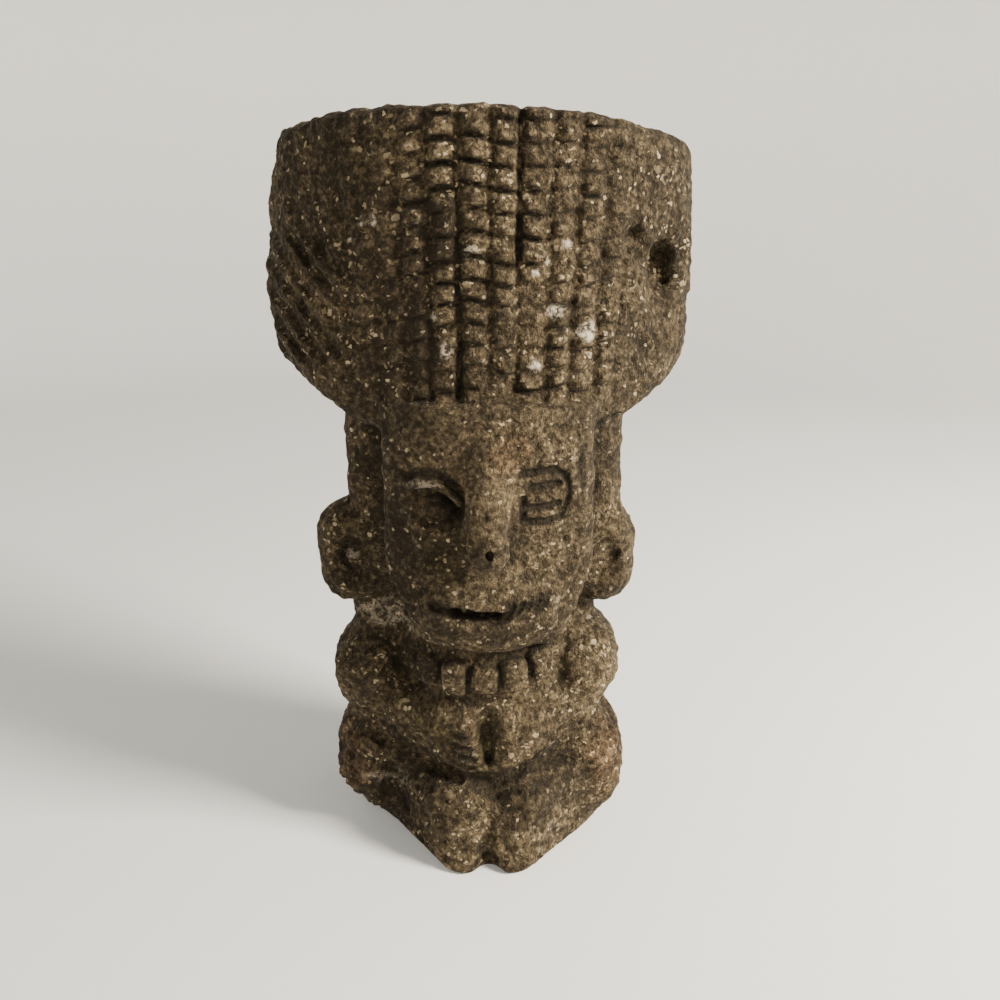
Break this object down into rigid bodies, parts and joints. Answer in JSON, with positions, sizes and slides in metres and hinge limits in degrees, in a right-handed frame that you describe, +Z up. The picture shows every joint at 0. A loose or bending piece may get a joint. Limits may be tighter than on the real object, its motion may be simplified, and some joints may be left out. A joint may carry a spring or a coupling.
{
  "type": "stone deity figure",
  "caption": "Carved stone deity figure that stands on its flat base, with a tall maize headdress, mask-like face, ear discs, bead necklace and hands joined over the belly.",
  "frame": {"origin": "on the underside, below the middle of the trunk", "axes": "+Z up the figure, +X towards the figure's left hand, the face looks along -Y"},
  "size_m": [0.1962, 0.1114, 0.33],
  "materials": {
    "stone": "rough, weathered, with pale inclusions and dark grooves"
  },
  "bodies": {
    "root": {"stone_figure": "stone"}
  },
  "joints": []
}
